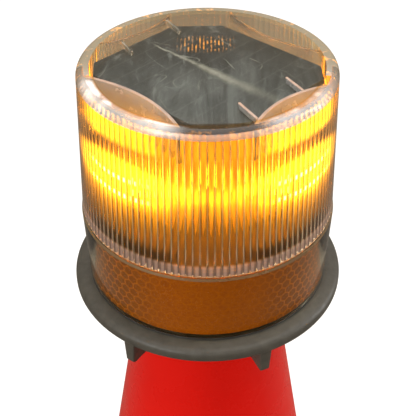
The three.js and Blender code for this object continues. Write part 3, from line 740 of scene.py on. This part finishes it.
def square_ring(half, corner, z):
    """Rounded square as a ring of points by angle, so it lofts to a circle."""
    ring = []
    flat = half - corner
    for i in range(ROUND):
        a = 2 * math.pi * i / ROUND
        c, s = abs(math.cos(a)), abs(math.sin(a))
        r = half / max(c, s)
        if min(r * c, r * s) > flat:
            # the ray meets the corner's arc
            b = flat * (c + s)
            r = b + math.sqrt(max(b * b - 2 * flat * flat + corner * corner, 0))
        ring.append((r * math.cos(a), r * math.sin(a), z))
    return ring


def build_base():
    """Weighted foot: a rounded square, a round collar on it, and a pocket for the cone's foot ring."""
    corner = 34 * MM
    clear = 0.4 * MM
    pocket_r = 156 * MM
    pocket_top = CONE_FOOT + LIP + clear
    rings = []
    for inset, z in ((1.2, 0), (0.3, 0.4), (0, 1.4), (0, 15.4), (0.3, 16.9), (1.2, 17.7), (2.2, 18.0),
                     (4.2, 18.1), (4.9, 18.6), (5.2, 20.6), (6.0, 21.6), (7.4, 22.0), (12, 22.0)):
        rings.append(square_ring(BASE_HALF - inset * MM, corner - inset * 0.8 * MM, z * MM))
    for r, z in ((163, 22.0), (159.5, 22.2), (157.8, 23.0), (153.6, 27.8), (152.6, 28.6), (151.0, 29.0)):
        rings.append(circle(r * MM, z * MM, ROUND))
    bore = cone_r(BASE_TOP) + clear
    for r, z in ((bore + 1.2 * MM, BASE_TOP), (bore, BASE_TOP - 1 * MM),
                 (cone_r(pocket_top) + clear, pocket_top), (pocket_r, pocket_top), (pocket_r, 0)):
        rings.append(circle(r, z, ROUND))
    bm = bmesh.new()
    loft(bm, rings)
    finish_mesh("cone_foot_weight", bm, RUBBER, CONE, 30, ("cone_base",))


# ---- lamp base ----------------------------------------------------------
def build_lamp_base():
    """Grey flange with a socket for the cone's tip, and six fins under it."""
    def cone_at(z_mm):
        return cone_r(up(z_mm))

    clear, wall = 0.6 * MM, 3.0 * MM
    deck = 21.8
    profile = [(0, up(19.3)), (cone_at(19) + clear, up(19.3)), (cone_at(0) + clear, up(0)),
               (cone_at(0) + wall, up(0)), (cone_at(0) + wall, up(3.9)), (63.2 * MM, up(3.9)),
               (63.2 * MM, up(0)), (65.3 * MM, up(0)), (66 * MM, up(0.9)), (66 * MM, up(3.2)),
               (65.6 * MM, up(4.5)), (64.6 * MM, up(5.5)), (63.2 * MM, up(6.0)), (60.4 * MM, up(6.4)),
               (cone_at(6.4) + wall, up(6.4)), (cone_at(19) + wall, up(deck)), (0, up(deck))]
    bm = bmesh.new()
    loft(bm, [circle(r, z, ROUND) for r, z in rounded(profile, 0.5 * MM, 3)], close=False)
    first = -35
    join_into(bm, [fin(first + 60 * i) for i in range(6)])
    finish_mesh("flange_and_fins", bm, GREY, LAMP, 35, ("lamp_base",))


def join_into(bm, others):
    """Moves the contents of other bmeshes into this one."""
    for other in others:
        mesh = bpy.data.meshes.new("tmp")
        other.to_mesh(mesh)
        other.free()
        bm.from_mesh(mesh)
        bpy.data.meshes.remove(mesh)


def fin(az):
    """One tapered plate under the flange, along a radius, thicker towards its root."""
    root, drop, r_out = 4.2, 15.5, 63.6
    foot_thick, gain = 4.2, 2.0

    def inner(z):
        return cone_r(up(z)) / MM + 0.8

    outline = [(inner(0), root), (inner(-drop), -drop), (r_out - 1.2, -drop), (r_out, -drop + 1.6),
               (r_out, root)]
    bm = bmesh.new()
    sides = []
    for side in (-1, 1):
        face = []
        for r, z in outline:
            half = (foot_thick + gain * (z + drop) / drop) / 2
            face.append(bm.verts.new((side * half * MM, -r * MM, up(z))))
        sides.append(face)
    bm.faces.new(sides[0][::-1])
    bm.faces.new(sides[1])
    n = len(outline)
    for i in range(n):
        j = (i + 1) % n
        bm.faces.new((sides[0][i], sides[0][j], sides[1][j], sides[1][i]))
    bevel_all(bm, 0.8 * MM, 3)
    spun(bm, math.radians(az))
    return bm


# ---- lens ---------------------------------------------------------------
LENS_SKINS = {"side": CLEAR_SIDE, "flutes": FLUTED, "plate": CLEAR_TOP, "edges": EDGES, "step": STEP,
              "collar": CLEAR_COLLAR, "back_edge": BACK_EDGE}
LENS_LOW = 7.7                          # foot of the collar
SIDE_TOP = LENS_TALL - FILLET           # where the rounded rim begins


def lens_outside():
    """Outline of the lens: collar, step, leaning side, rounded rim and flat top."""
    profile = [(58.2, LENS_LOW), (58.55, 8.0), (59.45, 43.0), (59.4, 43.5), (59.1, 43.9),
               (SIDE_R, STEP_TOP)]
    steps = 8
    for i in range(1, steps + 1):
        t = i / steps
        profile.append((SIDE_R - LEAN * t, STEP_TOP + (SIDE_TOP - STEP_TOP) * t))
    rim_r = SIDE_R - LEAN - FILLET
    for i in range(1, 10):
        a = math.radians(10 * i)
        profile.append((rim_r + FILLET * math.cos(a), SIDE_TOP + FILLET * math.sin(a)))
    return profile + [(r, LENS_TALL) for r in (RING_R, 40, 20, 0)]


def fluted(r, z, n):
    """Ring with rounded ribs: r at each crest, deeper into the wall at the grooves."""
    ring = []
    for i in range(n):
        t = (i % FLUTE_STEPS) / FLUTE_STEPS * 2 - 1
        q = (r + FLUTE_DEPTH * t * t) * MM
        a = 2 * math.pi * i / n
        ring.append((q * math.cos(a), q * math.sin(a), up(z)))
    return ring


def lens_skin(centre):
    """Which of LENS_SKINS a face of the lens with this centre takes."""
    r = math.hypot(centre.x, centre.y) / MM
    z = (centre.z - LAMP_Z) / MM
    y = centre.y / MM
    side_r = SIDE_R - LEAN * (z - STEP_TOP) / (SIDE_TOP - STEP_TOP)
    if SIDE_TOP < z < LENS_TALL - 0.01 and r > SIDE_R - LEAN - FILLET:
        return "edges" if y < -4 else "back_edge"
    if z > LENS_TALL - 0.01 and r > RING_R and y > -12:
        return "back_edge"
    if COLLAR_Z - 0.9 < z < STEP_TOP and r > SIDE_R - 0.1:
        return "step"
    if abs(z - RIB_TOP) < 0.01 and r > HEAD_R:
        return "flutes"
    if z > RIB_TOP - 0.01 and r < RIB_TOP_R - 0.1:
        return "plate"
    if COLLAR_Z - 0.2 < z < COLLAR_Z and r < COLLAR_BORE + 0.4:
        return "step"
    if z < COLLAR_Z:
        return "collar"
    if z < RIB_TOP - 0.01 and r < min(COLLAR_BORE - 0.2, side_r - 1.0):
        return "flutes"
    return "side"


def build_lens():
    n = FLUTES * FLUTE_STEPS
    rings = [circle(r * MM, up(z), n) for r, z in lens_outside()]
    rings += [circle(r * MM, up(RIB_TOP), n) for r in (0, 30, HEAD_R)]
    levels = 12
    for i in range(levels + 1):
        t = i / levels
        rings.append(fluted(RIB_TOP_R + LEAN * t, RIB_TOP - (RIB_TOP - COLLAR_Z) * t, n))
    rings += [circle(COLLAR_BORE * MM, up(z), n) for z in (COLLAR_Z - 0.1, LENS_LOW)]
    bm = bmesh.new()
    loft(bm, rings)
    order = list(LENS_SKINS)
    for f in bm.faces:
        f.material_index = order.index(lens_skin(f.calc_center_median()))
    finish_mesh("lens_shell", bm, tuple(LENS_SKINS.values()), LAMP, 38, ("lens",))


def wall_bow(distance, half, bow, x):
    """How far a hanging wall stands from the axis at x along it."""
    return distance + bow * (x / half) ** 2


def lens_wall(distance, half, bow):
    """One curved wall hanging from the plate, square to +Y."""
    wall = bmesh.new()
    thick, steps = 1.4, 28
    near, far = [], []
    for i in range(steps + 1):
        x = (-1 + 2 * i / steps) * half
        y = wall_bow(distance, half, bow, x)
        near.append((x * MM, (y - thick / 2) * MM))
        far.append((x * MM, (y + thick / 2) * MM))
    prism(wall, near + far[::-1], up(RIB_TOP - WALL_DROP), up(RIB_TOP - WALL_GAP))
    bevel_all(wall, 0.25 * MM, 2, 50)
    return wall


def lens_web(foot, reach):
    """A small triangular web under the plate, laid slantwise in from a wall."""
    web = bmesh.new()
    half, deep = 0.6, 2.5
    prism(web, [(foot, 0.0), (reach, 0.0), (reach + 1.2, deep), (foot, deep)], -half, half)
    return web


def build_lens_walls():
    """The curved clear walls under the lens's top, beside the panel, with their small webs."""
    bm = bmesh.new()
    long_wall, short_wall = (41.9, 22.8, 5.8), (37.2, 29.6, 6.6)
    for turn, size in ((0, long_wall), (180, long_wall), (90, short_wall), (270, short_wall)):
        distance = size[0]
        pieces = [lens_wall(*size)]
        web_places = (-12, 17) if size == long_wall else ()
        for x in web_places:
            foot = wall_bow(*size, x) - 0.9
            web = lens_web(foot, distance - 11)
            for v in web.verts:
                r, h, w = v.co
                v.co = ((x - WEB_SLANT * (foot - r) + w) * MM, r * MM, up(RIB_TOP - WALL_GAP) - h * MM)
            bevel_all(web, 0.2 * MM, 2, 50)
            pieces.append(web)
        for piece in pieces:
            spun(piece, math.radians(turn) + WALL_TURN)
        join_into(bm, pieces)
    # the front half takes the painted-shade copy, the back half the paler copy
    for f in bm.faces:
        f.material_index = int(f.calc_center_median().y > 0)
    finish_mesh("lens_inner_walls", bm, (WALLS, BACK_WALLS), LAMP, 38)


# ---- panel and light column ---------------------------------------------
def panel_outline(d):
    """Turned rectangle with its four corners cut off, grown by d mm."""
    u, v = 36 + d, 40.6 + d
    back, side = (42.4 + d) * math.sqrt(2), (48.9 + d) * math.sqrt(2)
    pts = [(u, back - u), (back - v, v), (v - side, v), (-u, side - u),
           (-u, u - back), (v - back, -v), (side - v, -v), (u, u - side)]
    return [(x * MM, y * MM) for x, y in pts]


def turned_prism(name, outline, z0, z1, bevel, material, replaces):
    """A bevelled prism, turned with the panel."""
    bm = bmesh.new()
    prism(bm, outline, z0, z1)
    bevel_all(bm, bevel, 2)
    spun(bm, PANEL_TURN)
    finish_mesh(name, bm, material, LAMP, 30, replaces)


def ring_at(outline, z):
    return [(x, y, z) for x, y in outline]


def square(half, round_by):
    """Outline of a square with rounded corners, in mm."""
    pts = []
    for k in range(4):
        for i in range(5):
            a = math.radians(90 * k + 22.5 * i)
            cx = (half - round_by) * (1 if k in (0, 3) else -1)
            cy = (half - round_by) * (1 if k in (0, 1) else -1)
            pts.append(((cx + round_by * math.cos(a)) * MM, (cy + round_by * math.sin(a)) * MM))
    return pts


def tube_between(name, outer, inner, z0, z1, material, replaces):
    """Upright tube between two outlines with the same number of points."""
    bm = bmesh.new()
    loft(bm, [ring_at(outer, z0), ring_at(outer, z1), ring_at(inner, z1), ring_at(inner, z0)])
    bevel_all(bm, 0.3 * MM, 2, 60)
    spun(bm, PANEL_TURN)
    finish_mesh(name, bm, material, LAMP, 30, replaces)


def build_panel():
    """The laminate, its tray, the pale skirt under the tray and the square column of the lights."""
    turned_prism("panel_laminate", panel_outline(0), PANEL_LOW, PANEL_TOP, 0.5 * MM, CELLS,
                 ("solar_panel",))
    tray_top = PANEL_LOW - 0.3 * MM
    turned_prism("panel_tray", panel_outline(-0.4), tray_top - 1.8 * MM, tray_top, 0.35 * MM, DARK,
                 ("panel_carrier",))
    skirt_top = tray_top - 2.1 * MM
    tube_between("glow_skirt", panel_outline(-3), panel_outline(-5.2), skirt_top - 12.5 * MM, skirt_top,
                 LIT, ("reflector_skirt",))
    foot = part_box("light_column")[0][2]
    tube_between("light_tower", square(23, 1.2), square(21, 0.6), foot, skirt_top - 1.9 * MM, LIT,
                 ("light_column",))


def add_slab(bm, x, z, wide, high, out, deep):
    """A slab that faces -Y: x and z of its lower edge's middle, and its face out from the axis."""
    one = bmesh.new()
    left, right = (x - wide / 2) * MM, (x + wide / 2) * MM
    front, back = -out * MM, (deep - out) * MM
    prism(one, [(left, front), (right, front), (right, back), (left, back)], z, z + high * MM)
    bevel_all(one, 0.15 * MM, 2)
    join_into(bm, [one])


def build_boards():
    """Four light boards with their small parts, one on each face of the column."""
    for k in range(4):
        node = f"led_board_{k + 1}"
        lo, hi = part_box(node)[0][2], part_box(node)[1][2]
        bm = bmesh.new()
        add_slab(bm, 0, lo, 26, (hi - lo) / MM, 24.9, 1.6)
        for x, z in ((-9, 4), (-9, 15), (9, 4), (9, 15), (-6, 18.5), (6, 18.5)):
            add_slab(bm, x, lo + z * MM, 2.0, 1.25, 25.35, 0.6)
        spun(bm, PANEL_TURN + k * math.pi / 2)
        finish_mesh(f"light_board_{k + 1}", bm, LIT, LAMP, 30, (node,))


# ---- drum, band, seal ---------------------------------------------------
def build_drum():
    """Brown drum under the lights, the honeycomb film round it and the seal under the lens."""
    r, inner_r = 53.9 * MM, 51.5 * MM
    profile = [(0, DECK - 2 * MM), (inner_r, DECK - 2 * MM), (inner_r, up(6.7)), (r, up(6.7)),
               (r, DECK - 1 * MM), (r - 1 * MM, DECK), (0, DECK)]
    turned("drum", profile, DRUM, LAMP, 192, 0.4 * MM, ("inner_drum",))
    a, b = (COLLAR_BORE - 0.9) * MM, (COLLAR_BORE - 0.2) * MM
    turned("honeycomb_band", [(a, BAND_LOW), (b, BAND_LOW), (b, BAND_TOP), (a, BAND_TOP)],
           TAPE, LAMP, ROUND, closed=True, replaces=("reflective_band",))
    lo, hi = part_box("seal_ring")[0][2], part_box("seal_ring")[1][2]
    mid = (lo + hi) / 2
    a, b = 54.5 * MM, 58.3 * MM
    turned("seal", [(a, lo), (b, lo), (b + 0.3 * MM, mid), (b, hi), (a, hi)],
           RUBBER, LAMP, 192, closed=True, replaces=("seal_ring",))


# ---- lights -------------------------------------------------------------
def build_leds():
    """Domed amber lamps on the four faces of the column."""
    foot, tip = 25.2 * MM, 33.8 * MM
    r, rim_r, rim = 2.5 * MM, 2.9 * MM, 1 * MM
    steps = 8
    for row in ("upper", "lower"):
        for k in range(1, 5):
            node = f"led_{row}_{k}"
            lo, hi = Vector(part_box(node)[0]), Vector(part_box(node)[1])
            mid = (lo + hi) / 2
            profile = [(0, foot), (rim_r, foot), (rim_r, foot + rim), (r, foot + rim)]
            for i in range(steps):
                a = math.radians(90 * i / steps)
                profile.append((r * math.cos(a), tip - r + r * math.sin(a)))
            profile.append((0, tip))
            bm = bmesh.new()
            loft(bm, [circle(q, h, 24) for q, h in profile], close=False)
            out = Vector((mid.x, mid.y, 0)).normalized()
            turn = out.to_track_quat("Z", "Y").to_matrix()
            bmesh.ops.rotate(bm, cent=(0, 0, 0), matrix=turn, verts=bm.verts)
            bmesh.ops.translate(bm, vec=(0, 0, mid.z), verts=bm.verts)
            finish_mesh(f"lamp_dome_{row}_{k}", bm, LED_LIT, LAMP, 40, (node,))


def build_button():
    """Round button under the flange, with a softened lower edge."""
    lo, hi = Vector(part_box("switch_button")[0]), Vector(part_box("switch_button")[1])
    mid = (lo + hi) / 2
    r = 2.7 * MM
    profile = [(0, lo.z), (1.6 * MM, lo.z + 0.1 * MM), (2.3 * MM, lo.z + 0.5 * MM), (r, lo.z + 1.2 * MM),
               (r, hi.z), (0, hi.z)]
    bm = bmesh.new()
    loft(bm, [circle(q, h, 32) for q, h in profile], close=False)
    bmesh.ops.translate(bm, vec=(mid.x, mid.y, 0), verts=bm.verts)
    finish_mesh("push_button", bm, RUBBER, "button", 35, ("switch_button",))


build_cone()
build_base()
build_lamp_base()
build_lens()
build_lens_walls()
build_panel()
build_boards()
build_drum()
build_leds()
build_button()

KEPT = {"control_board": BOARD, "panel_lead_red": LEAD_RED, "panel_lead_black": LEAD_BLACK,
        "battery_lead_red": LEAD_RED, "battery_lead_black": LEAD_BLACK, "battery_tray": DARK,
        "battery_cell_1": WRAP, "battery_cell_2": WRAP, "switch_body": DARK}
for name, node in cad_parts.items():
    material = KEPT.get(name)
    if "screw" in name or "contact" in name or name == "switch_nut":
        material = STEEL
    if material:
        node.data.materials.clear()
        node.data.materials.append(material)


# ---- stage --------------------------------------------------------------
CAMERA_SIDE = 0.0002
CAMERA_BACK = 0.3184
CAMERA_ABOVE = 0.1710                   # above the lens's top
CAMERA_DOWN = 38.1255                   # degrees down from level
CAMERA_LENS = 72.68


def seen_straight(m):
    """White paper where the camera sees the floor straight, dimmer for what it lights and mirrors."""
    path = m.node("ShaderNodeLightPath")
    paper = m.node("ShaderNodeEmission")
    paper.inputs[0].default_value = (1, 1, 1, 1)
    paper.inputs[1].default_value = 0.95
    add = m.node("ShaderNodeAddShader")
    m.link(m.bsdf.outputs[0], add.inputs[0])
    m.link(paper.outputs[0], add.inputs[1])
    mix = m.node("ShaderNodeMixShader")
    m.link(path.outputs["Is Camera Ray"], mix.inputs[0])
    m.link(m.bsdf.outputs[0], mix.inputs[1])
    m.link(add.outputs[0], mix.inputs[2])
    m.link(mix.outputs[0], m.out.inputs[0])


def stage():
    bpy.ops.mesh.primitive_plane_add(size=40, location=(0, 0, 0))
    floor = bpy.context.object
    floor.name = "floor"
    m = Mat("floor", Roughness=0.8)
    m.into("Base Color", m.mottle((0.24, 0.21, 0.17), (0.27, 0.24, 0.20), 2.0, 3))
    seen_straight(m)
    floor.data.materials.append(m.m)

    world = bpy.data.worlds.new("studio")
    bpy.context.scene.world = world
    world.use_nodes = True
    tree = world.node_tree
    room = tree.nodes["Background"]
    room.inputs[0].default_value = (0.27, 0.245, 0.205, 1)
    paper = tree.nodes.new("ShaderNodeBackground")
    paper.inputs[0].default_value = (1.15, 1.15, 1.15, 1)
    mix = tree.nodes.new("ShaderNodeMixShader")
    path = tree.nodes.new("ShaderNodeLightPath")
    tree.links.new(path.outputs["Is Camera Ray"], mix.inputs[0])
    tree.links.new(room.outputs[0], mix.inputs[1])
    tree.links.new(paper.outputs[0], mix.inputs[2])
    tree.links.new(mix.outputs[0], tree.nodes["World Output"].inputs[0])

    def softbox(name, place, aim, size, watts):
        data = bpy.data.lights.new(name, "AREA")
        data.shape = "RECTANGLE"
        data.size, data.size_y = size
        data.energy = watts
        o = bpy.data.objects.new(name, data)
        o.location = place
        o.rotation_euler = (Vector(aim) - Vector(place)).to_track_quat("-Z", "Y").to_euler()
        bpy.context.scene.collection.objects.link(o)

    softbox("overhead", (0.2, 0.3, 2.6), (0, 0, 0.4), (2.4, 2.4), 34)
    softbox("front_left", (-1.5, -1.8, 1.8), (0, 0, 0.5), (1.4, 1.4), 36)
    softbox("right", (1.9, 0.3, 1.3), (0, 0, 0.6), (0.3, 1.6), 20)

    data = bpy.data.cameras.new("camera")
    data.sensor_width = 36
    data.lens = CAMERA_LENS
    camera = bpy.data.objects.new("camera", data)
    camera.location = (CAMERA_SIDE, -CAMERA_BACK, LENS_TOP + CAMERA_ABOVE)
    camera.rotation_euler = (math.radians(90 - CAMERA_DOWN), 0, 0)
    data.clip_start = 0.01
    bpy.context.scene.collection.objects.link(camera)
    bpy.context.scene.camera = camera
    bpy.context.scene.view_settings.view_transform = "Standard"


stage()
